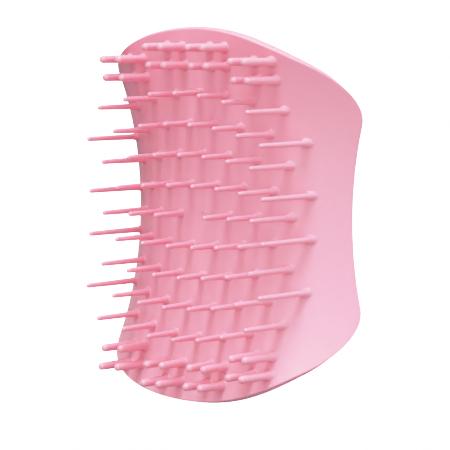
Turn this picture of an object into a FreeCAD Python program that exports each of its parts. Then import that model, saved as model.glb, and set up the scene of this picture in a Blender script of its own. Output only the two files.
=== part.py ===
import FreeCAD, Part
import math
import os

# A palm-held scalp massager brush: a saddle-shaped plate that carries nine staggered
# rows of thin teeth and eight groups of thick fingers, closed behind by a hollow
# domed cover that fills the palm.  All sizes are in millimetres.
#
# The shapes are worked out in the plate's own directions:
#   u  across the brush, v  along the brush, w  out of the plate, the way the teeth point.
# In the part's frame the brush stands on its lower end: X = u, Y = -w, Z = v, and the
# origin is the middle of the bottom of the whole brush.

# ---- Driving dimensions ------------------------------------------------------------

# Outline of the plate, seen along w: a waisted shape of tangent arcs.
WAIST_HALF_WIDTH = 31.85    # half width at the middle of the waist
WAIST_RADIUS = 96.0         # hollow arc of each side
CORNER_RADIUS = 13.5        # round corner between side and end
END_HALF_LENGTH = 44.7      # middle of the brush to the middle of an end
END_RADIUS = 51.6           # arched end

# Saddle of the plate: it falls away to both sides and rises to both ends.
SIDE_FALL = 0.00664         # fall for each u squared, per mm
SIDE_FALL_STEEPER = 9.67e-6 # extra fall for each u to the fourth, per mm cubed
END_RISE = 0.00222          # rise for each v squared, per mm
CORNER_LIFT = 6.25e-6       # rise for each u squared times v squared, per mm cubed
PLATE_THICKNESS = 1.5

# Back cover.
COVER_DEPTH = 32.0          # middle of the plate's front to the back of the cover
COVER_WALL = 2.2
COVER_FULLNESS = 1.8        # power of the dome: higher is fuller towards the rim
COVER_RIM_REACH = 3.0       # higher keeps the rim's rise and fall nearer to the rim
PARTING_GAP = 0.05          # between the plate's back face and the cover's rim

# Thin teeth: rows are counted from the top, columns are staggered by half a pitch.
ROW_COUNT = 9
ROW_PITCH = 7.32
COLUMN_PITCH = 7.28
TEETH_IN_ODD_ROW = 7
TEETH_IN_EVEN_ROW = 8
ROW_BOW = 0.00164           # how far a row bends to the middle, for each u squared
ROW_BOW_GROWTH = 0.00022    # more bend for each mm that the row is from the middle
TOOTH_TIP_HEIGHT = 9.97     # tips over the plate's middle, at the brush's centre
TOOTH_TIP_CUP = 0.00311     # tips lie on a cup: rise for each mm squared off the centre
TOOTH_TIP_RADIUS = 0.53
TOOTH_SHAFT_RADIUS = 0.72   # just above the flared root
TOOTH_ROOT_RADIUS = 1.20    # where the flare meets the plate
TOOTH_FLARE_HEIGHT = 2.8

# Thick fingers, in groups of two by two, four groups at each end.
FINGER_PITCH = 4.35
INNER_GROUP_U = 6.25
INNER_GROUP_V = 38.0
OUTER_GROUP_U = 18.7
OUTER_GROUP_V = 34.85
FINGER_TIP_HEIGHT = 6.6     # cup of the finger tips, taken to the brush's centre
FINGER_TIP_CUP = 0.0040
FINGER_TIP_RADIUS = 0.92
FINGER_SHAFT_RADIUS = 1.02
FINGER_ROOT_RADIUS = 1.40
FINGER_FLARE_HEIGHT = 1.6

# Mould gate mark in the place of the middle tooth: a low ring round a pip.
GATE_RING_RADIUS = 0.92
GATE_RING_WIDTH = 0.24
GATE_PIP_RADIUS = 0.24
GATE_HEIGHT = 0.22

# Pegs behind the plate, pressed into sockets that stand inside the cover.
PEG_U = 13.0
PEG_V = 21.0
PEG_RADIUS = 1.9
PEG_ENGAGEMENT = 7.0        # length of peg inside its socket
PEG_POINT = 0.8             # chamfer on the peg's end
PEG_CLEARANCE = 0.06        # round the peg, all the way
SOCKET_WALL = 1.5
SOCKET_TO_PLATE = 2.0       # air left between a socket's mouth and the plate

# How closely the formula surfaces are followed.
NET_SIZE = 19               # control points along each side of a surface
DEGREE = 3
BURIED = 1.0                # a root starts this far under the plate's front face

os.makedirs("parts", exist_ok=True)


# ---- Small helpers -----------------------------------------------------------------

def place(u, v, w):
    """A point given in the plate's directions, as a vector with Y = -w and Z = v."""
    return FreeCAD.Vector(u, -w, v)


FORWARD = place(0, 0, 1)


def saddle(u, v):
    """Height w of the plate's front face."""
    fall = SIDE_FALL * u ** 2 + SIDE_FALL_STEEPER * u ** 4
    return END_RISE * v ** 2 + CORNER_LIFT * u ** 2 * v ** 2 - fall


def saddle_normal(u, v):
    """Unit normal of the plate's front face, as (u, v, w)."""
    slope_u = 2 * CORNER_LIFT * u * v ** 2 - 2 * SIDE_FALL * u - 4 * SIDE_FALL_STEEPER * u ** 3
    slope_v = 2 * END_RISE * v + 2 * CORNER_LIFT * u ** 2 * v
    length = math.sqrt(slope_u ** 2 + slope_v ** 2 + 1)
    return -slope_u / length, -slope_v / length, 1 / length


# ---- Outline -----------------------------------------------------------------------

def corner_centre():
    """Centre of the corner arc that is tangent to the waist arc and to the end arc."""
    end_v = END_HALF_LENGTH - END_RADIUS
    waist_u = WAIST_HALF_WIDTH + WAIST_RADIUS
    to_end = END_RADIUS - CORNER_RADIUS
    to_waist = WAIST_RADIUS + CORNER_RADIUS
    apart = math.hypot(waist_u, end_v)
    along = (to_end ** 2 - to_waist ** 2 + apart ** 2) / (2 * apart)
    across = math.sqrt(to_end ** 2 - along ** 2)
    unit_u = waist_u / apart
    unit_v = -end_v / apart
    return along * unit_u - across * unit_v, end_v + along * unit_v + across * unit_u


def ray_to_circle(angle, centre_u, centre_v, radius, far):
    """Distance from the middle to a circle along a ray; far picks the further crossing."""
    toward = centre_u * math.cos(angle) + centre_v * math.sin(angle)
    inside = max(toward ** 2 - centre_u ** 2 - centre_v ** 2 + radius ** 2, 0.0)
    return toward + math.sqrt(inside) if far else toward - math.sqrt(inside)


def outline_radius(angle):
    """Distance from the middle of the brush to its outline, in the direction angle."""
    folded = math.atan2(abs(math.sin(angle)), abs(math.cos(angle)))
    corner_u, corner_v = corner_centre()
    waist_u = WAIST_HALF_WIDTH + WAIST_RADIUS
    end_v = END_HALF_LENGTH - END_RADIUS
    share = CORNER_RADIUS / (CORNER_RADIUS + WAIST_RADIUS)
    side_u = corner_u + (waist_u - corner_u) * share
    side_v = corner_v - corner_v * share
    stretch = END_RADIUS / math.hypot(corner_u, corner_v - end_v)
    top_u = corner_u * stretch
    top_v = end_v + (corner_v - end_v) * stretch
    if folded <= math.atan2(side_v, side_u):
        return ray_to_circle(folded, waist_u, 0.0, WAIST_RADIUS, False)
    if folded <= math.atan2(top_v, top_u):
        return ray_to_circle(folded, corner_u, corner_v, CORNER_RADIUS, True)
    return ray_to_circle(folded, 0.0, end_v, END_RADIUS, True)


# ---- Smooth surfaces through a net of points ----------------------------------------

def clamped_knots(count):
    inner = count - DEGREE
    return [i / inner for i in range(inner + 1)]


def flat_knots(count):
    knots = clamped_knots(count)
    return [knots[0]] * DEGREE + knots + [knots[-1]] * DEGREE


def net_stations(count):
    """The parameters, one for each control point, where the surface meets its formula."""
    knots = flat_knots(count)
    return [sum(knots[i + 1:i + 1 + DEGREE]) / DEGREE for i in range(count)]


def basis_row(count, place_at):
    """Weights of all control points at one parameter."""
    knots = flat_knots(count)
    last = len(knots) - 1
    weights = [0.0] * last
    span = max(i for i in range(DEGREE, count) if knots[i] <= place_at or i == DEGREE)
    weights[span] = 1.0
    for degree in range(1, DEGREE + 1):
        for i in range(last - degree):
            left = 0.0
            right = 0.0
            if knots[i + degree] > knots[i]:
                left = (place_at - knots[i]) / (knots[i + degree] - knots[i]) * weights[i]
            if knots[i + degree + 1] > knots[i + 1]:
                gap = knots[i + degree + 1] - knots[i + 1]
                right = (knots[i + degree + 1] - place_at) / gap * weights[i + 1]
            weights[i] = left + right
    return weights[:count]


def inverse(matrix):
    """Gauss-Jordan inverse of a small square matrix."""
    size = len(matrix)
    rows = [list(row) + [float(i == j) for j in range(size)] for i, row in enumerate(matrix)]
    for i in range(size):
        pivot = max(range(i, size), key=lambda k: abs(rows[k][i]))
        rows[i], rows[pivot] = rows[pivot], rows[i]
        lead = rows[i][i]
        rows[i] = [value / lead for value in rows[i]]
        for k in range(size):
            if k != i:
                factor = rows[k][i]
                rows[k] = [a - factor * b for a, b in zip(rows[k], rows[i])]
    return [row[size:] for row in rows]


STATIONS = net_stations(NET_SIZE)
TO_POLES = inverse([basis_row(NET_SIZE, station) for station in STATIONS])


def blend(weights, points):
    total = FreeCAD.Vector()
    for weight, point in zip(weights, points):
        total += point * weight
    return total


def smooth_face(formula):
    """A surface through formula(s, t) at every station, with s and t from -1 to 1."""
    grid = [[formula(2 * s - 1, 2 * t - 1) for t in STATIONS] for s in STATIONS]
    along_t = [[blend(weights, row) for weights in TO_POLES] for row in grid]
    columns = list(zip(*along_t))
    poles = [[blend(weights, column) for column in columns] for weights in TO_POLES]
    knots = clamped_knots(NET_SIZE)
    repeats = [DEGREE + 1] + [1] * (len(knots) - 2) + [DEGREE + 1]
    surface = Part.BSplineSurface()
    surface.buildFromPolesMultsKnots(poles, repeats, repeats, knots, knots,
                                     False, False, DEGREE, DEGREE)
    return surface


def disc(s, t):
    """A point of the square (s, t) moved to the unit disc."""
    return s * math.sqrt(1 - t * t / 2), t * math.sqrt(1 - s * s / 2)


def edge_point(x, y):
    """Where the outline is met in the direction of the disc point (x, y), as (u, v)."""
    angle = math.atan2(y * END_HALF_LENGTH, x * WAIST_HALF_WIDTH)
    radius = outline_radius(angle)
    return radius * math.cos(angle), radius * math.sin(angle)


def spread(x, y, edge_u, edge_v, half_u, half_v):
    """The disc point (x, y) on the brush: an ellipse near the middle, the edge outside."""
    ring = math.hypot(x, y)
    if ring == 0:
        return 0.0, 0.0
    share = ring ** 2
    u = (1 - share) * half_u * x + share * ring * edge_u
    v = (1 - share) * half_v * y + share * ring * edge_v
    return u, v


def rim_behind(x, y, depth, inset):
    """A point on the plate's rim, depth behind the front face and inset from the edge."""
    edge_u, edge_v = edge_point(x, y)
    shrink = 1 - inset / math.hypot(edge_u, edge_v)
    u = edge_u * shrink
    v = edge_v * shrink
    normal_u, normal_v, normal_w = saddle_normal(u, v)
    return u - depth * normal_u, v - depth * normal_v, saddle(u, v) - depth * normal_w


def plate_surface(depth):
    """The plate's front face, or the face that lies depth behind it."""
    def formula(s, t):
        x, y = disc(s, t)
        edge_u, edge_v = edge_point(x, y)
        u, v = spread(x, y, edge_u, edge_v, WAIST_HALF_WIDTH, END_HALF_LENGTH)
        normal_u, normal_v, normal_w = saddle_normal(u, v)
        return place(u - depth * normal_u, v - depth * normal_v, saddle(u, v) - depth * normal_w)
    return smooth_face(formula)


def rim_based_surface(start, inset, height):
    """A surface inside the rim at depth start and inset; height(rim_w, ring) gives its w."""
    half_u = rim_behind(1, 0, start, inset)[0]
    half_v = rim_behind(0, 1, start, inset)[1]

    def formula(s, t):
        x, y = disc(s, t)
        rim_u, rim_v, rim_w = rim_behind(x, y, start, inset)
        ring = math.hypot(x, y)
        u, v = spread(x, y, rim_u, rim_v, half_u, half_v)
        return place(u, v, height(rim_w, ring))
    return smooth_face(formula)


def dome_surface(depth, start, inset):
    """A dome behind the plate, from its rim to depth behind the plate's middle."""
    def height(rim_w, ring):
        return rim_w * ring ** COVER_RIM_REACH - depth * (1 - ring ** COVER_FULLNESS)
    return rim_based_surface(start, inset, height)


def lid_surface(start, inset):
    """A plain lid over the dome's rim, below the plate's back face."""
    def height(rim_w, ring):
        return rim_w * ring ** 2 - start * (1 - ring ** 2)
    return rim_based_surface(start, inset, height)


def closed_solid(faces):
    """A solid from faces whose edges coincide."""
    shell = Part.makeShell(faces)
    shell.sewShape()
    solid = Part.makeSolid(Part.Shell(shell.Faces))
    if solid.Volume < 0:
        solid.reverse()
    return solid


def side_curves(surface):
    """The four edges of a surface, in a fixed order."""
    return [surface.uIso(0.0), surface.vIso(0.0), surface.uIso(1.0), surface.vIso(1.0)]


def ruled_ring(first, second):
    """Four ruled faces that join the edges of two surfaces."""
    pairs = zip(side_curves(first), side_curves(second))
    return [Part.makeRuledSurface(a.toShape(), b.toShape()) for a, b in pairs]


# ---- The pieces --------------------------------------------------------------------

def make_plate():
    front = plate_surface(0.0)
    back = plate_surface(PLATE_THICKNESS)
    return closed_solid([front.toShape(), back.toShape()] + ruled_ring(front, back))


def make_cover():
    start = PLATE_THICKNESS + PARTING_GAP
    outer = dome_surface(COVER_DEPTH, start, 0.0)
    inner = dome_surface(COVER_DEPTH - COVER_WALL, start, COVER_WALL)
    return closed_solid([outer.toShape(), inner.toShape()] + ruled_ring(outer, inner))


def make_cavity():
    """The air inside the cover, as a solid to trim the sockets with."""
    start = PLATE_THICKNESS + PARTING_GAP
    inner = dome_surface(COVER_DEPTH - COVER_WALL, start, COVER_WALL)
    return closed_solid([inner.toShape(), lid_surface(start, COVER_WALL).toShape()])


def make_prong(u, v, tip_w, tip_radius, shaft_radius, root_radius, flare_height):
    """A round tapered tooth that points along w, with a domed tip and a flared root."""
    root_w = saddle(u, v)
    normal_w = saddle_normal(u, v)[2]
    drop = root_radius * math.sqrt(1 - normal_w ** 2) / normal_w + BURIED
    bottom = root_w - drop
    shaft_w = root_w + flare_height
    dome_w = tip_w - tip_radius

    def at(radius, w):
        return place(radius, 0, w)
    flare_bend = at(shaft_radius + (root_radius - shaft_radius) * 0.3, root_w + flare_height * 0.35)
    tip_bend = at(tip_radius * math.sqrt(0.5), dome_w + tip_radius * math.sqrt(0.5))
    edges = [
        Part.makeLine(at(0, bottom), at(root_radius, bottom)),
        Part.makeLine(at(root_radius, bottom), at(root_radius, root_w)),
        Part.Arc(at(root_radius, root_w), flare_bend, at(shaft_radius, shaft_w)).toShape(),
        Part.makeLine(at(shaft_radius, shaft_w), at(tip_radius, dome_w)),
        Part.Arc(at(tip_radius, dome_w), tip_bend, at(0, tip_w)).toShape(),
        Part.makeLine(at(0, tip_w), at(0, bottom)),
    ]
    profile = Part.Face(Part.Wire(edges))
    prong = profile.revolve(FreeCAD.Vector(), FORWARD, 360)
    prong.translate(FreeCAD.Vector(u, 0, v))
    return prong


def tooth_places(row):
    """The (u, v) places of one row of teeth; row 1 is the top row."""
    steps = (ROW_COUNT + 1) // 2 - row
    height = abs(steps) * ROW_PITCH
    count = TEETH_IN_ODD_ROW if row % 2 else TEETH_IN_EVEN_ROW
    bow = (ROW_BOW + ROW_BOW_GROWTH * height) if steps else 0.0
    places = []
    for index in range(count):
        u = (index - (count - 1) / 2) * COLUMN_PITCH
        if steps == 0 and u == 0:
            continue
        places.append((u, math.copysign(height - bow * u ** 2, steps)))
    return places


def make_tooth(u, v):
    tip_w = TOOTH_TIP_HEIGHT + TOOTH_TIP_CUP * (u ** 2 + v ** 2)
    return make_prong(u, v, tip_w, TOOTH_TIP_RADIUS, TOOTH_SHAFT_RADIUS,
                      TOOTH_ROOT_RADIUS, TOOTH_FLARE_HEIGHT)


def make_finger(u, v):
    tip_w = FINGER_TIP_HEIGHT + FINGER_TIP_CUP * (u ** 2 + v ** 2)
    return make_prong(u, v, tip_w, FINGER_TIP_RADIUS, FINGER_SHAFT_RADIUS,
                      FINGER_ROOT_RADIUS, FINGER_FLARE_HEIGHT)


def finger_places(group_u, group_v):
    half = FINGER_PITCH / 2
    return [(group_u + a * half, group_v + b * half) for a in (-1, 1) for b in (-1, 1)]


def make_gate_mark():
    """A low ring round a pip, in the plate's middle."""
    bottom = place(0, 0, -BURIED)
    height = BURIED + GATE_HEIGHT
    ring = Part.makeCylinder(GATE_RING_RADIUS, height, bottom, FORWARD)
    hole = Part.makeCylinder(GATE_RING_RADIUS - GATE_RING_WIDTH, height, bottom, FORWARD)
    pip = Part.makeCylinder(GATE_PIP_RADIUS, height, bottom, FORWARD)
    return [ring.cut(hole), pip]


def peg_places():
    return [(a * PEG_U, b * PEG_V) for a in (-1, 1) for b in (-1, 1)]


def socket_radius():
    return PEG_RADIUS + PEG_CLEARANCE + SOCKET_WALL


def socket_mouth_w(u, v):
    """Height of a socket's mouth, clear of the lowest part of the plate above it."""
    outer_u = abs(u) + socket_radius()
    inner_v = abs(v) - socket_radius()
    return saddle(outer_u, inner_v) - PLATE_THICKNESS - SOCKET_TO_PLATE


def make_peg(u, v):
    end_w = socket_mouth_w(u, v) - PEG_ENGAGEMENT
    shank_w = end_w + PEG_POINT
    shank = Part.makeCylinder(PEG_RADIUS, saddle(u, v) - shank_w, place(u, v, shank_w), FORWARD)
    point = Part.makeCone(PEG_RADIUS - PEG_POINT, PEG_RADIUS, PEG_POINT,
                          place(u, v, end_w), FORWARD)
    return shank.fuse(point).removeSplitter()


def make_socket(u, v, cavity):
    """A tube that stands on the cover's inside and takes a peg."""
    mouth_w = socket_mouth_w(u, v)
    hole_depth = PEG_ENGAGEMENT + PEG_POINT
    boss = Part.makeCylinder(socket_radius(), COVER_DEPTH + mouth_w,
                             place(u, v, -COVER_DEPTH), FORWARD)
    hole = Part.makeCylinder(PEG_RADIUS + PEG_CLEARANCE, hole_depth,
                             place(u, v, mouth_w - hole_depth), FORWARD)
    return boss.cut(hole).common(cavity)


# ---- Build, stand the brush on its lower end and write the files ---------------------

def build():
    nodes = {}
    plate = make_plate()
    nodes["tooth_plate"] = [plate]
    nodes["back_cover"] = [make_cover()]
    for row in range(1, ROW_COUNT + 1):
        teeth = [make_tooth(u, v).cut(plate) for u, v in tooth_places(row)]
        nodes["tooth_row_%d" % row] = teeth
    groups = (("outer_left", -OUTER_GROUP_U, OUTER_GROUP_V),
              ("inner_left", -INNER_GROUP_U, INNER_GROUP_V),
              ("inner_right", INNER_GROUP_U, INNER_GROUP_V),
              ("outer_right", OUTER_GROUP_U, OUTER_GROUP_V))
    for end, sign in (("top", 1), ("bottom", -1)):
        for name, group_u, group_v in groups:
            places = finger_places(group_u, sign * group_v)
            fingers = [make_finger(u, v).cut(plate) for u, v in places]
            nodes["%s_fingers_%s" % (end, name)] = fingers
    nodes["gate_mark"] = [piece.cut(plate) for piece in make_gate_mark()]
    nodes["plate_pegs"] = [make_peg(u, v).cut(plate) for u, v in peg_places()]
    cavity = make_cavity()
    nodes["cover_sockets"] = [make_socket(u, v, cavity) for u, v in peg_places()]
    return nodes


def main_solid(piece):
    """The piece without the stub that trimming leaves on the far side of the plate."""
    return max(piece.Solids, key=lambda solid: solid.Volume)


def main():
    nodes = {name: [main_solid(piece) for piece in pieces] for name, pieces in build().items()}
    whole = Part.makeCompound([piece for pieces in nodes.values() for piece in pieces])
    box = whole.optimalBoundingBox(False)
    shift = FreeCAD.Vector(-box.Center.x, -box.Center.y, -box.ZMin)
    for name, pieces in nodes.items():
        for piece in pieces:
            piece.translate(shift)
        shape = pieces[0] if len(pieces) == 1 else Part.makeCompound(pieces)
        shape.exportStep("parts/%s.step" % name)
        print(name, len(pieces), "solids, volume", round(shape.Volume, 1), shape.isValid())
    print("size", round(box.XLength, 2), round(box.YLength, 2), round(box.ZLength, 2))
    print("plate centre", round(shift.x, 5), round(shift.y, 5), round(shift.z, 5))


main()
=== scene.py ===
import math

import bmesh
import bpy
from mathutils import Matrix, Vector


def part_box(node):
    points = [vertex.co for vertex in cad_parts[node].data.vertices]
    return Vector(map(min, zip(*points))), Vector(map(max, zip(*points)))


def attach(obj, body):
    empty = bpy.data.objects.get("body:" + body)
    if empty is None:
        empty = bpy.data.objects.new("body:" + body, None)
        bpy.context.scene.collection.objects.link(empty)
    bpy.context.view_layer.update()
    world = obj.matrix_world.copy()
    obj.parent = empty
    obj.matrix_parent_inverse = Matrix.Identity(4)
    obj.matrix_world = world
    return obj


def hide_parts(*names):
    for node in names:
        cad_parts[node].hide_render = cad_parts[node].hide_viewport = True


# A palm-held scalp massager brush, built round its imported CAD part.  Shapes are worked
# out in millimetres in the plate's own directions, u across, v along and w out of the
# plate, and place() turns them into metres in the part's frame.

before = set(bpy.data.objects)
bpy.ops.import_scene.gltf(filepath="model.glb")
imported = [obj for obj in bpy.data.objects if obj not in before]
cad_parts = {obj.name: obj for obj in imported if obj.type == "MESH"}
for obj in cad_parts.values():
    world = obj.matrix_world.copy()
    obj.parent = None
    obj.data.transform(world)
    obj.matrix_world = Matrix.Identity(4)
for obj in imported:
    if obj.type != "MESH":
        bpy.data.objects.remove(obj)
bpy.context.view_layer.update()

MM = 0.001

# ---- Driving dimensions, the same as the CAD part's ----------------------------------

WAIST_HALF_WIDTH = 31.85
WAIST_RADIUS = 96.0
CORNER_RADIUS = 13.5
END_HALF_LENGTH = 44.7
END_RADIUS = 51.6
SIDE_FALL = 0.00664
SIDE_FALL_STEEPER = 9.67e-6
END_RISE = 0.00222
CORNER_LIFT = 6.25e-6
PLATE_THICKNESS = 1.5
COVER_DEPTH = 32.0
COVER_WALL = 2.2
COVER_FULLNESS = 1.8
COVER_RIM_REACH = 3.0
PARTING_GAP = 0.05
ROW_COUNT = 9
ROW_PITCH = 7.32
COLUMN_PITCH = 7.28
TEETH_IN_ODD_ROW = 7
TEETH_IN_EVEN_ROW = 8
ROW_BOW = 0.00164
ROW_BOW_GROWTH = 0.00022
TOOTH_TIP_HEIGHT = 9.97
TOOTH_TIP_CUP = 0.00311
TOOTH_TIP_RADIUS = 0.53
TOOTH_SHAFT_RADIUS = 0.72
TOOTH_ROOT_RADIUS = 1.20
TOOTH_FLARE_HEIGHT = 2.8
FINGER_PITCH = 4.35
INNER_GROUP = (6.25, 38.0)
OUTER_GROUP = (18.7, 34.85)
FINGER_TIP_HEIGHT = 6.6
FINGER_TIP_CUP = 0.0040
FINGER_TIP_RADIUS = 0.92
FINGER_SHAFT_RADIUS = 1.02
FINGER_ROOT_RADIUS = 1.40
FINGER_FLARE_HEIGHT = 1.6
GATE_RING_RADIUS = 0.92
GATE_RING_WIDTH = 0.24
GATE_PIP_RADIUS = 0.24
GATE_HEIGHT = 0.22

# ---- Finer shape, only here ------------------------------------------------------------

PLATE_EDGE_ROUND = 0.30     # rounded edges of the plate's rim
COVER_EDGE_ROUND = 0.22     # rounded outer edge of the cover's rim
EDGE_STEPS = 5              # facets in a rounded edge
EDGE_SUPPORT = 0.25         # flat band kept next to a rounded edge
SHEET_CELLS = 112           # cells along each side of a large surface
BURIED = 0.3                # a root starts this far under the plate's face
FOOT_FILLET = 0.38          # small fillet where a flare runs into the plate
FOOT_SHARE = 0.55           # part of the fillet that the flare's root gives way to
FOOT_SPREAD = 0.1           # the fillet reaches this far past the root
FOOT_SINK = 0.04            # its last buried ring is this far under the plate's face
TIP_SWELL = 0.05            # the thin teeth's tips are a touch thicker than in the CAD
TIP_BLUNTNESS = 0.75        # power of the tip's dome: 1 is a ball, lower is blunter
FILLET_STEPS = 4            # rings in the fillet, flare, shaft and tip of a prong
FLARE_STEPS = 12
SHAFT_STEPS = 6
TIP_STEPS = 7
TOOTH_SIDES = 28            # facets round a tooth, a finger and the gate mark
FINGER_SIDES = 36
GATE_SIDES = 40
GATE_RING_STEPS = 8         # facets over the gate mark's ring, and up its pip
GATE_PIP_STEPS = 5

gate_low, gate_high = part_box("gate_mark")
CENTRE = Vector(((gate_low.x + gate_high.x) / 2,
                 gate_low.y + GATE_HEIGHT * MM,
                 (gate_low.z + gate_high.z) / 2))


def place(u, v, w):
    """A point of the plate's directions, in metres in the part's frame."""
    return CENTRE + Vector((u, -w, v)) * MM


# ---- Formulas that the CAD part is made from -------------------------------------------

def saddle(u, v):
    """Height w of the plate's front face."""
    fall = SIDE_FALL * u ** 2 + SIDE_FALL_STEEPER * u ** 4
    return END_RISE * v ** 2 + CORNER_LIFT * u ** 2 * v ** 2 - fall


def saddle_normal(u, v):
    """Unit direction out of the plate's front face."""
    slope_u = 2 * CORNER_LIFT * u * v ** 2 - 2 * SIDE_FALL * u - 4 * SIDE_FALL_STEEPER * u ** 3
    slope_v = 2 * END_RISE * v + 2 * CORNER_LIFT * u ** 2 * v
    return Vector((-slope_u, -slope_v, 1)).normalized()


def corner_centre():
    """Centre of the corner arc that is tangent to the waist arc and to the end arc."""
    end_v = END_HALF_LENGTH - END_RADIUS
    waist_u = WAIST_HALF_WIDTH + WAIST_RADIUS
    to_end = END_RADIUS - CORNER_RADIUS
    to_waist = WAIST_RADIUS + CORNER_RADIUS
    apart = math.hypot(waist_u, end_v)
    along = (to_end ** 2 - to_waist ** 2 + apart ** 2) / (2 * apart)
    across = math.sqrt(to_end ** 2 - along ** 2)
    unit_u, unit_v = waist_u / apart, -end_v / apart
    return along * unit_u - across * unit_v, end_v + along * unit_v + across * unit_u


def ray_to_circle(angle, centre_u, centre_v, radius, far):
    """Distance from the middle of the brush to a circle's near or far side."""
    toward = centre_u * math.cos(angle) + centre_v * math.sin(angle)
    inside = max(toward ** 2 - centre_u ** 2 - centre_v ** 2 + radius ** 2, 0.0)
    return toward + math.sqrt(inside) if far else toward - math.sqrt(inside)


def outline_radius(angle):
    """Distance from the middle of the brush to its outline, in the direction angle."""
    folded = math.atan2(abs(math.sin(angle)), abs(math.cos(angle)))
    corner_u, corner_v = corner_centre()
    waist_u = WAIST_HALF_WIDTH + WAIST_RADIUS
    end_v = END_HALF_LENGTH - END_RADIUS
    share = CORNER_RADIUS / (CORNER_RADIUS + WAIST_RADIUS)
    side_u = corner_u + (waist_u - corner_u) * share
    side_v = corner_v - corner_v * share
    stretch = END_RADIUS / math.hypot(corner_u, corner_v - end_v)
    top_u, top_v = corner_u * stretch, end_v + (corner_v - end_v) * stretch
    if folded <= math.atan2(side_v, side_u):
        return ray_to_circle(folded, waist_u, 0.0, WAIST_RADIUS, False)
    if folded <= math.atan2(top_v, top_u):
        return ray_to_circle(folded, corner_u, corner_v, CORNER_RADIUS, True)
    return ray_to_circle(folded, 0.0, end_v, END_RADIUS, True)


def disc(s, t):
    """A point of the square (s, t) moved to the unit disc."""
    return s * math.sqrt(1 - t * t / 2), t * math.sqrt(1 - s * s / 2)


def edge_point(x, y):
    """The point (u, v) of the brush's outline that the disc point (x, y) belongs to."""
    angle = math.atan2(y * END_HALF_LENGTH, x * WAIST_HALF_WIDTH)
    radius = outline_radius(angle)
    return radius * math.cos(angle), radius * math.sin(angle)


def spread(x, y, edge_u, edge_v, half_u, half_v):
    """The disc point (x, y) on the brush: an ellipse near the middle, the edge outside."""
    ring = math.hypot(x, y)
    if ring == 0:
        return 0.0, 0.0
    share = ring ** 2
    u = (1 - share) * half_u * x + share * ring * edge_u
    v = (1 - share) * half_v * y + share * ring * edge_v
    return u, v


def rim_behind(x, y, depth, inset):
    """A point on the plate's rim, depth behind the front face and inset from the edge."""
    edge_u, edge_v = edge_point(x, y)
    shrink = 1 - inset / math.hypot(edge_u, edge_v)
    u, v = edge_u * shrink, edge_v * shrink
    normal = saddle_normal(u, v)
    return u - depth * normal.x, v - depth * normal.y, saddle(u, v) - depth * normal.z


def tooth_places(row):
    """The (u, v) places of one row of teeth; row 1 is the top row."""
    steps = (ROW_COUNT + 1) // 2 - row
    height = abs(steps) * ROW_PITCH
    count = TEETH_IN_ODD_ROW if row % 2 else TEETH_IN_EVEN_ROW
    bow = (ROW_BOW + ROW_BOW_GROWTH * height) if steps else 0.0
    places = []
    for index in range(count):
        u = (index - (count - 1) / 2) * COLUMN_PITCH
        if steps == 0 and u == 0:
            continue
        places.append((u, math.copysign(height - bow * u ** 2, steps)))
    return places


def finger_places(group_u, group_v):
    half = FINGER_PITCH / 2
    return [(group_u + a * half, group_v + b * half) for a in (-1, 1) for b in (-1, 1)]


# ---- Mesh makers -------------------------------------------------------------------------

def around(radius, sides):
    """Points of a circle round the origin."""
    angles = [2 * math.pi * side / sides for side in range(sides)]
    return [(radius * math.cos(angle), radius * math.sin(angle)) for angle in angles]


class Builder:
    """Collects points and faces of one piece."""

    def __init__(self):
        self.points = []
        self.faces = []

    def add(self, points):
        first = len(self.points)
        self.points.extend(points)
        return list(range(first, len(self.points)))

    def bridge(self, ring, following, flip=False):
        """Quads between two closed rings of the same count."""
        count = len(ring)
        for i in range(count):
            k = (i + 1) % count
            quad = (ring[i], ring[k], following[k], following[i])
            self.faces.append(quad[::-1] if flip else quad)

    def bridge_all(self, rings, flip=False):
        """Quads from each ring to the next."""
        for ring, following in zip(rings, rings[1:]):
            self.bridge(ring, following, flip)

    def close(self, rings, foot, tip):
        """Triangles from the first ring to the point foot, and from the last to tip."""
        count = len(rings[0])
        for i in range(count):
            k = (i + 1) % count
            self.faces.append((rings[0][k], rings[0][i], foot))
            self.faces.append((rings[-1][i], rings[-1][k], tip))

    def grid(self, formula, flip):
        """A square grid of formula(s, t), and its border as one closed ring."""
        last = SHEET_CELLS
        ids = self.add([formula(2 * i / last - 1, 2 * j / last - 1)
                        for i in range(last + 1) for j in range(last + 1)])

        def at(i, j):
            return ids[i * (last + 1) + j]
        for i in range(last):
            for j in range(last):
                quad = (at(i, j), at(i + 1, j), at(i + 1, j + 1), at(i, j + 1))
                self.faces.append(quad[::-1] if flip else quad)
        return ([at(i, 0) for i in range(last)] + [at(last, j) for j in range(last)]
                + [at(last - i, last) for i in range(last)]
                + [at(0, last - j) for j in range(last)])

    def finish(self, name, material, slot, *nodes):
        mesh = bpy.data.meshes.new(name)
        mesh.from_pydata(self.points, [], self.faces)
        mesh.validate()
        work = bmesh.new()
        work.from_mesh(mesh)
        bmesh.ops.recalc_face_normals(work, faces=work.faces)
        work.to_mesh(mesh)
        work.free()
        mesh.shade_smooth()
        mesh.materials.append(material)
        piece = bpy.data.objects.new(name, mesh)
        bpy.context.scene.collection.objects.link(piece)
        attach(piece, "root")
        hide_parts(*nodes)
        return piece


def border_disc():
    """Disc points of a grid's border, in the order of its ring."""
    last = SHEET_CELLS
    steps = [2 * i / last - 1 for i in range(last)]
    square = ([(s, -1) for s in steps] + [(1, t) for t in steps]
              + [(-s, 1) for s in steps] + [(-1, -t) for t in steps])
    return [disc(s, t) for s, t in square]


BORDER = border_disc()


def rim_ring(depth, inset):
    return [place(*rim_behind(x, y, depth, inset)) for x, y in BORDER]


def rounded(radius, steps, inward):
    """(depth, inset) of a quarter round, from the face to the wall or back again."""
    quarter = [math.pi / 2 * i / steps for i in range(steps + 1)]
    outward = [(radius * (1 - math.cos(a)), radius * (1 - math.sin(a))) for a in quarter]
    return outward[::-1] if inward else outward


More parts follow.
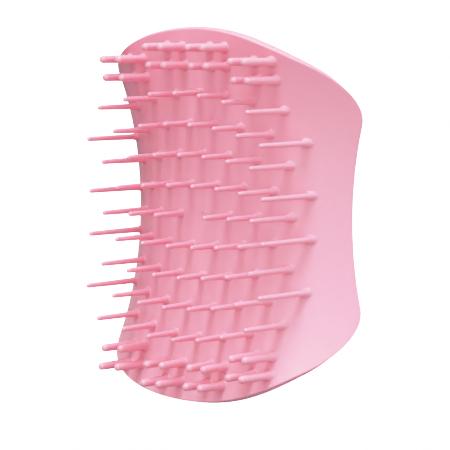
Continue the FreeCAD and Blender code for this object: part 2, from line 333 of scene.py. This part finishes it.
def plate_face(depth, inset):
    def formula(s, t):
        x, y = disc(s, t)
        edge_u, edge_v = edge_point(x, y)
        shrink = 1 - inset / math.hypot(edge_u, edge_v)
        u, v = spread(x, y, edge_u * shrink, edge_v * shrink,
                      WAIST_HALF_WIDTH - inset, END_HALF_LENGTH - inset)
        normal = saddle_normal(u, v)
        return place(u - depth * normal.x, v - depth * normal.y, saddle(u, v) - depth * normal.z)
    return formula


def dome(depth, start, inset):
    """A dome behind the plate, from its rim to depth behind the plate's middle."""
    half_u = rim_behind(1, 0, start, inset)[0]
    half_v = rim_behind(0, 1, start, inset)[1]

    def formula(s, t):
        x, y = disc(s, t)
        rim_u, rim_v, rim_w = rim_behind(x, y, start, inset)
        ring = math.hypot(x, y)
        u, v = spread(x, y, rim_u, rim_v, half_u, half_v)
        w = rim_w * ring ** COVER_RIM_REACH - depth * (1 - ring ** COVER_FULLNESS)
        return place(u, v, w)
    return formula


def make_plate(material):
    """The saddle plate, closed, with both edges of its rim rounded."""
    piece = Builder()
    radius = PLATE_EDGE_ROUND
    rings = [piece.grid(plate_face(0.0, radius + EDGE_SUPPORT), True)]
    front = rounded(radius, EDGE_STEPS, False)
    back = [(PLATE_THICKNESS - depth, inset) for depth, inset in reversed(front)]
    wall = [(radius + EDGE_SUPPORT, 0.0), (PLATE_THICKNESS - radius - EDGE_SUPPORT, 0.0)]
    for depth, inset in front + wall + back:
        rings.append(piece.add(rim_ring(depth, inset)))
    rings.append(piece.grid(plate_face(PLATE_THICKNESS, radius + EDGE_SUPPORT), False))
    piece.bridge_all(rings, True)
    return piece.finish("plate_shell", material, "plate_plastic", "tooth_plate")


def make_cover(material):
    """The hollow back cover: outer dome, rounded rim, inner dome."""
    piece = Builder()
    start = PLATE_THICKNESS + PARTING_GAP
    radius = COVER_EDGE_ROUND
    rings = [piece.grid(dome(COVER_DEPTH, start + radius + EDGE_SUPPORT, 0.0), False)]
    edge = rounded(radius, EDGE_STEPS, True)
    for depth, inset in edge + [(0.0, radius + EDGE_SUPPORT), (0.0, COVER_WALL - EDGE_SUPPORT)]:
        rings.append(piece.add(rim_ring(start + depth, inset)))
    rings.append(piece.grid(dome(COVER_DEPTH - COVER_WALL, start, COVER_WALL), True))
    piece.bridge_all(rings)
    return piece.finish("cover_shell", material, "cover_plastic", "back_cover")


def prong_profile(length, tip_radius, shaft_radius, root_radius, flare_height):
    """(radius, height over the plate) from the foot to the tip of a moulded prong."""
    flare_root = root_radius - FOOT_FILLET * FOOT_SHARE
    foot = root_radius + FOOT_SPREAD
    profile = [(foot, -BURIED), (foot, -FOOT_SINK)]
    for step in range(FILLET_STEPS + 1):
        angle = math.pi / 2 * step / FILLET_STEPS
        radius = flare_root + (foot - flare_root) * (1 - math.sin(angle))
        profile.append((radius, FOOT_FILLET * (1 - math.cos(angle))))
    for step in range(1, FLARE_STEPS + 1):
        share = step / FLARE_STEPS
        height = FOOT_FILLET + (flare_height - FOOT_FILLET) * share
        profile.append((shaft_radius + (flare_root - shaft_radius) * (1 - share) ** 2, height))
    shoulder = length - tip_radius
    for step in range(1, SHAFT_STEPS + 1):
        share = step / SHAFT_STEPS
        height = flare_height + (shoulder - flare_height) * share
        profile.append((shaft_radius + (tip_radius - shaft_radius) * share, height))
    for step in range(1, TIP_STEPS):
        angle = math.pi / 2 * step / TIP_STEPS
        radius = tip_radius * math.cos(angle) ** TIP_BLUNTNESS
        profile.append((radius, shoulder + tip_radius * math.sin(angle)))
    return profile


def add_prong(piece, u, v, tip_w, sizes, sides):
    """One closed prong whose foot follows the saddle and whose shaft points along w.

    The sizes are its tip radius, shaft radius, root radius and flare height.
    """
    root_w = saddle(u, v)
    length = tip_w - root_w
    flare_height = sizes[-1]
    rings = []
    for radius, height in prong_profile(length, *sizes):
        share = min(max(height / flare_height, 0.0), 1.0)
        level = share * share * (3 - 2 * share)
        ring = []
        for aside, along in around(radius, sides):
            base_w = (1 - level) * saddle(u + aside, v + along) + level * root_w
            ring.append(place(u + aside, v + along, base_w + height))
        rings.append(piece.add(ring))
    piece.bridge_all(rings)
    foot = piece.add([place(u, v, root_w - BURIED)])[0]
    tip = piece.add([place(u, v, tip_w)])[0]
    piece.close(rings, foot, tip)


def make_row(row, material):
    """One row of thin teeth."""
    piece = Builder()
    tip_radius = TOOTH_TIP_RADIUS + TIP_SWELL
    sizes = (tip_radius, TOOTH_SHAFT_RADIUS, TOOTH_ROOT_RADIUS, TOOTH_FLARE_HEIGHT)
    for u, v in tooth_places(row):
        tip_w = TOOTH_TIP_HEIGHT + TOOTH_TIP_CUP * (u ** 2 + v ** 2)
        add_prong(piece, u, v, tip_w, sizes, TOOTH_SIDES)
    name = "tooth_row_%d" % row
    return piece.finish(name + "_teeth", material, "teeth_plastic", name)


def make_fingers(name, group_u, group_v, material):
    """One group of two by two thick fingers."""
    piece = Builder()
    sizes = (FINGER_TIP_RADIUS, FINGER_SHAFT_RADIUS, FINGER_ROOT_RADIUS, FINGER_FLARE_HEIGHT)
    for u, v in finger_places(group_u, group_v):
        tip_w = FINGER_TIP_HEIGHT + FINGER_TIP_CUP * (u ** 2 + v ** 2)
        add_prong(piece, u, v, tip_w, sizes, FINGER_SIDES)
    return piece.finish(name + "_prongs", material, "teeth_plastic", name)


def make_gate(material):
    """A low ring with soft edges, and a domed pip in its middle."""
    piece = Builder()
    middle = GATE_RING_RADIUS - GATE_RING_WIDTH / 2
    half = GATE_RING_WIDTH / 2
    half_turn = [math.pi * step / GATE_RING_STEPS for step in range(GATE_RING_STEPS + 1)]
    section = [(middle + half * math.cos(a), GATE_HEIGHT * math.sin(a)) for a in half_turn]
    section += [(middle - half, -BURIED), (middle + half, -BURIED)]
    rings = [piece.add([place(u, v, saddle(u, v) + height) for u, v in around(radius, GATE_SIDES)])
             for radius, height in section]
    piece.bridge_all(rings + rings[:1])

    quarter = [math.pi / 2 * step / GATE_PIP_STEPS for step in range(GATE_PIP_STEPS)]
    outline = [(GATE_PIP_RADIUS, -BURIED)]
    outline += [(GATE_PIP_RADIUS * math.cos(a), GATE_HEIGHT * math.sin(a)) for a in quarter]
    pip_rings = [piece.add([place(u, v, height) for u, v in around(radius, GATE_SIDES)])
                 for radius, height in outline]
    piece.bridge_all(pip_rings)
    foot = piece.add([place(0, 0, -BURIED)])[0]
    top = piece.add([place(0, 0, GATE_HEIGHT)])[0]
    piece.close(pip_rings, foot, top)
    return piece.finish("gate_ring_and_pip", material, "plate_plastic", "gate_mark")


# ---- Materials ---------------------------------------------------------------------------

PINK = (0.94, 0.366, 0.476)
SHINE = 0.7                             # how strongly the moulded skin reflects
SMOOTHER, ROUGHER = 0.03, 0.04          # how far the roughness wanders either way
GRAIN_DEPTH = 0.00003                   # fine mould grain, in metres
SKIN_DEPTH = 0.00012                    # slow unevenness of the skin, in metres
SKIN_BUMP = 0.15                        # and how strongly it shows
GLOW_REACH = 0.0012                     # how far light wanders under the skin, in metres
GLOW_SHARE = 0.35                       # part of the light that goes under the skin
GLOW_COLOUR = (1.0, 0.35, 0.45)         # red wanders furthest

class Nodes:
    """A short way to add shader nodes and link them."""

    def __init__(self, tree):
        self.tree = tree
        self.tree.nodes.clear()

    def new(self, kind, **settings):
        node = self.tree.nodes.new(kind)
        for key, value in settings.items():
            setattr(node, key, value)
        return node

    def link(self, source, target):
        self.tree.links.new(source, target)

    def noise(self, position, scale, detail, roughness):
        node = self.new("ShaderNodeTexNoise", noise_dimensions="3D")
        node.inputs["Scale"].default_value = scale
        node.inputs["Detail"].default_value = detail
        node.inputs["Roughness"].default_value = roughness
        self.link(position, node.inputs["Vector"])
        return node.outputs["Fac"]

    def ramp(self, value, *stops):
        node = self.new("ShaderNodeValToRGB")
        elements = node.color_ramp.elements
        while len(elements) < len(stops):
            elements.new(0.5)
        for element, (position, colour) in zip(elements, stops):
            element.position = position
            element.color = (*colour, 1.0)
        self.link(value, node.inputs["Fac"])
        return node.outputs["Color"]

    def mix(self, factor, first, second):
        node = self.new("ShaderNodeMix", data_type="RGBA")
        self.link(factor, node.inputs[0])
        self.link(first, node.inputs[6])
        self.link(second, node.inputs[7])
        return node.outputs[2]

    def map_range(self, value, low, high, to_low, to_high):
        node = self.new("ShaderNodeMapRange")
        for key, number in zip(("From Min", "From Max", "To Min", "To Max"),
                               (low, high, to_low, to_high)):
            node.inputs[key].default_value = number
        self.link(value, node.inputs["Value"])
        return node.outputs["Result"]

    def bump(self, height, strength, distance):
        node = self.new("ShaderNodeBump")
        node.inputs["Strength"].default_value = strength
        node.inputs["Distance"].default_value = distance
        self.link(height, node.inputs["Height"])
        return node


def scaled(colour, factor):
    return tuple(min(channel * factor, 1.0) for channel in colour)


def moulded_plastic(name, colour, roughness, grain, seed_shift):
    """Satin moulded plastic: soft mottling, fine mould grain, and raised edges painted paler,
    partly pale wear and partly a painted highlight.
    """
    material = bpy.data.materials.new(name)
    material.use_nodes = True
    nodes = Nodes(material.node_tree)
    output = nodes.new("ShaderNodeOutputMaterial")
    shader = nodes.new("ShaderNodeBsdfPrincipled")
    nodes.link(shader.outputs["BSDF"], output.inputs["Surface"])
    coordinates = nodes.new("ShaderNodeTexCoord")
    mapping = nodes.new("ShaderNodeMapping")
    mapping.inputs["Location"].default_value = seed_shift
    nodes.link(coordinates.outputs["Object"], mapping.inputs["Vector"])
    position = mapping.outputs["Vector"]

    # Slow drift of the pigment, and a finer mottling over it.
    drift = nodes.noise(position, scale=45.0, detail=2.0, roughness=0.5)
    mottle = nodes.noise(position, scale=420.0, detail=3.0, roughness=0.6)
    slow = nodes.ramp(drift, (0.3, scaled(colour, 0.965)), (0.7, scaled(colour, 1.02)))
    fine = nodes.ramp(mottle, (0.3, scaled(colour, 0.975)), (0.7, scaled(colour, 1.015)))
    body = nodes.new("ShaderNodeMix", data_type="RGBA")
    body.inputs[0].default_value = 0.5
    nodes.link(slow, body.inputs[6])
    nodes.link(fine, body.inputs[7])

    # Raised edges and tips are painted a little paler: partly pale wear from handling, partly a
    # painted highlight where the light catches them.
    geometry = nodes.new("ShaderNodeNewGeometry")
    edge = nodes.map_range(geometry.outputs["Pointiness"], 0.53, 0.62, 0.0, 0.35)
    # The paler edge colour: a painted highlight, mixed with pale wear.
    pale = nodes.ramp(mottle, (0.3, scaled(colour, 1.04)), (0.7, scaled(colour, 1.12)))
    nodes.link(nodes.mix(edge, body.outputs[2], pale), shader.inputs["Base Color"])

    # Roughness wanders with handling and mould finish.
    smear = nodes.noise(position, scale=130.0, detail=4.0, roughness=0.55)
    nodes.link(nodes.map_range(smear, 0.25, 0.75, roughness - SMOOTHER, roughness + ROUGHER),
               shader.inputs["Roughness"])

    # Fine mould grain and a much slower unevenness of the moulded skin.
    grain_noise = nodes.noise(position, scale=5200.0, detail=2.0, roughness=0.5)
    skin = nodes.noise(position, scale=190.0, detail=2.0, roughness=0.4)
    fine_bump = nodes.bump(grain_noise, grain, GRAIN_DEPTH)
    slow_bump = nodes.bump(skin, SKIN_BUMP, SKIN_DEPTH)
    nodes.link(fine_bump.outputs["Normal"], slow_bump.inputs["Normal"])
    nodes.link(slow_bump.outputs["Normal"], shader.inputs["Normal"])

    shader.inputs["Specular IOR Level"].default_value = SHINE
    shader.inputs["Subsurface Weight"].default_value = GLOW_SHARE
    shader.inputs["Subsurface Radius"].default_value = GLOW_COLOUR
    shader.inputs["Subsurface Scale"].default_value = GLOW_REACH
    return material


plate_plastic = moulded_plastic("plate_pink_satin", PINK, 0.42, 0.35, (0.0, 0.0, 0.0))
teeth_plastic = moulded_plastic("teeth_pink_satin", PINK, 0.40, 0.25, (0.31, 0.17, 0.05))
cover_plastic = moulded_plastic("cover_pink_gloss", PINK, 0.24, 0.12, (0.07, 0.41, 0.23))

make_plate(plate_plastic)
make_cover(cover_plastic)
for row in range(1, ROW_COUNT + 1):
    make_row(row, teeth_plastic)
finger_groups = (("outer_left", -1, OUTER_GROUP), ("inner_left", -1, INNER_GROUP),
                 ("inner_right", 1, INNER_GROUP), ("outer_right", 1, OUTER_GROUP))
for end, sign in (("top", 1), ("bottom", -1)):
    for group, side, (group_u, group_v) in finger_groups:
        make_fingers("%s_fingers_%s" % (end, group), side * group_u, sign * group_v, teeth_plastic)
make_gate(plate_plastic)

# The hidden pegs and sockets keep their CAD shapes and only take the same plastics.
for node, material in (("plate_pegs", plate_plastic), ("cover_sockets", cover_plastic)):
    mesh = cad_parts[node].data
    mesh.materials.clear()
    mesh.materials.append(material)


# ---- Camera ------------------------------------------------------------------------------

AROUND = 0.630962           # camera's turn to the right of the plate's middle line, in radians
ABOVE = 0.0732098           # its height angle, in radians
ROLL = -0.00692633          # its tilt about its own axis, in radians
DISTANCE = 728.9            # from the plate's middle, in millimetres
LENS = 242.84               # in millimetres, on the sensor below
SENSOR_WIDTH = 36.0
OFFSET_RIGHT = -4.992       # of the plate's middle from the middle of the picture, in mm
OFFSET_UP = 2.488
NEAR, FAR = 0.01, 500.0     # what the camera can see, in metres


def to_frame(vector):
    """A direction given as (u, v, w), in the part's frame."""
    return Vector((vector.x, -vector.z, vector.y))


def make_camera():
    """A long lens, to the right of the brush and slightly above it."""
    back = Vector((math.sin(AROUND) * math.cos(ABOVE), math.sin(ABOVE),
                   math.cos(AROUND) * math.cos(ABOVE)))
    level = Vector((math.cos(AROUND), 0, -math.sin(AROUND)))
    upward = back.cross(level)
    right = math.cos(ROLL) * level - math.sin(ROLL) * upward
    up = math.sin(ROLL) * level + math.cos(ROLL) * upward
    at = -OFFSET_RIGHT * right - OFFSET_UP * up + DISTANCE * back
    data = bpy.data.cameras.new("camera")
    data.lens = LENS
    data.sensor_width = SENSOR_WIDTH
    data.clip_start, data.clip_end = NEAR, FAR
    camera = bpy.data.objects.new("camera", data)
    axes = Matrix([to_frame(right), to_frame(up), to_frame(back)]).transposed()
    camera.matrix_world = Matrix.Translation(place(at.x, at.y, at.z)) @ axes.to_4x4()
    bpy.context.scene.collection.objects.link(camera)
    bpy.context.scene.camera = camera


# ---- Floor and light -----------------------------------------------------------------------

FLOOR_RADIUS, FLOOR_SIDES = 120.0, 96   # in metres, so that its edge is far away
PURE_WHITE = 3.2                        # brightness of the floor's glow and of the horizon
HORIZON = (0.008, 0.02)                 # the horizon's white band fades between these heights
KEY_TOWARD = (0.16, -0.44, 1.0)         # direction that the key light comes from
KEY_SPREAD, KEY_STRENGTH = 25.0, 2.9    # its apparent width in degrees, and its strength
WORLD_TOWARD = (0.75, -0.45, 0.75)      # the brightest direction of the surroundings
WORLD_GLOW = (0.14, 1.16)               # strength away from it and towards it
WORLD_TURN = (-0.8, 0.9)                # cosines between which the strength grows
SHOULDER_WHITE = 3.0                    # scene brightness that is shown as white
SHOULDER = ((0.25, 0.25), (0.5, 0.5), (0.74, 0.71), (1.09, 0.855), (1.5, 0.935), (2.0, 0.98))


def make_floor():
    """A wide pale floor that glows, so that it shows as plain white."""
    mesh = bpy.data.meshes.new("floor")
    points = [Vector((x, y, 0)) for x, y in around(FLOOR_RADIUS, FLOOR_SIDES)]
    mesh.from_pydata(points, [], [list(range(FLOOR_SIDES))])
    floor = bpy.data.objects.new("floor", mesh)
    bpy.context.scene.collection.objects.link(floor)
    material = bpy.data.materials.new("pale_floor")
    material.use_nodes = True
    nodes = Nodes(material.node_tree)
    output = nodes.new("ShaderNodeOutputMaterial")
    shader = nodes.new("ShaderNodeBsdfDiffuse")
    glow = nodes.new("ShaderNodeEmission")
    both = nodes.new("ShaderNodeAddShader")
    nodes.link(shader.outputs["BSDF"], both.inputs[0])
    nodes.link(glow.outputs["Emission"], both.inputs[1])
    nodes.link(both.outputs["Shader"], output.inputs["Surface"])
    coordinates = nodes.new("ShaderNodeTexCoord")
    cloud = nodes.noise(coordinates.outputs["Object"], scale=6.0, detail=2.0, roughness=0.5)
    pale = nodes.ramp(cloud, (0.3, (0.93, 0.93, 0.93)), (0.7, (0.95, 0.95, 0.95)))
    nodes.link(pale, shader.inputs["Color"])
    nodes.link(pale, glow.inputs["Color"])
    glow.inputs["Strength"].default_value = PURE_WHITE
    mesh.materials.append(material)

    # Its glow neither lights the brush nor shows in it.
    floor.visible_diffuse = False
    floor.visible_glossy = False


def sun_light(name, direction, spread_degrees, strength):
    """A broad soft light that comes from a direction."""
    data = bpy.data.lights.new(name, "SUN")
    data.angle = math.radians(spread_degrees)
    data.energy = strength
    light = bpy.data.objects.new(name, data)
    toward = Vector(direction).normalized()
    light.matrix_world = (Matrix.Translation(CENTRE + toward)
                          @ toward.to_track_quat("Z", "Y").to_matrix().to_4x4())
    bpy.context.scene.collection.objects.link(light)


def make_world():
    """Soft studio surroundings, brightest above, in front and to the right."""
    world = bpy.data.worlds.new("studio")
    bpy.context.scene.world = world
    world.use_nodes = True
    nodes = Nodes(world.node_tree)
    output = nodes.new("ShaderNodeOutputWorld")
    background = nodes.new("ShaderNodeBackground")
    background.inputs["Color"].default_value = (1.0, 1.0, 1.0, 1.0)
    nodes.link(background.outputs["Background"], output.inputs["Surface"])
    coordinates = nodes.new("ShaderNodeTexCoord")
    toward = nodes.new("ShaderNodeVectorMath", operation="DOT_PRODUCT")
    nodes.link(coordinates.outputs["Generated"], toward.inputs[0])
    toward.inputs[1].default_value = Vector(WORLD_TOWARD).normalized()
    glow = nodes.map_range(toward.outputs["Value"], *WORLD_TURN, *WORLD_GLOW)

    # A thin white band at the horizon, behind the floor's far edge.
    split = nodes.new("ShaderNodeSeparateXYZ")
    nodes.link(coordinates.outputs["Generated"], split.inputs["Vector"])
    height = nodes.new("ShaderNodeMath", operation="ABSOLUTE")
    nodes.link(split.outputs["Z"], height.inputs[0])
    band = nodes.map_range(height.outputs["Value"], *HORIZON, PURE_WHITE, 0.0)
    strength = nodes.new("ShaderNodeMath", operation="MAXIMUM")
    nodes.link(glow, strength.inputs[0])
    nodes.link(band, strength.inputs[1])
    nodes.link(strength.outputs["Value"], background.inputs["Strength"])


def soft_shoulder():
    """Highlights roll off gently, as they do in a bright product picture."""
    view = bpy.context.scene.view_settings
    view.view_transform = "Standard"
    view.use_curve_mapping = True
    curves = view.curve_mapping
    curves.white_level = (SHOULDER_WHITE, SHOULDER_WHITE, SHOULDER_WHITE)
    curve = curves.curves[3]
    curve.points[0].location = (0.0, 0.0)
    curve.points[1].location = (1.0, 1.0)
    for scene_value, shown in SHOULDER:
        curve.points.new(scene_value / SHOULDER_WHITE, shown)
    curves.update()


make_camera()
make_floor()
make_world()
sun_light("key", KEY_TOWARD, KEY_SPREAD, KEY_STRENGTH)
soft_shoulder()
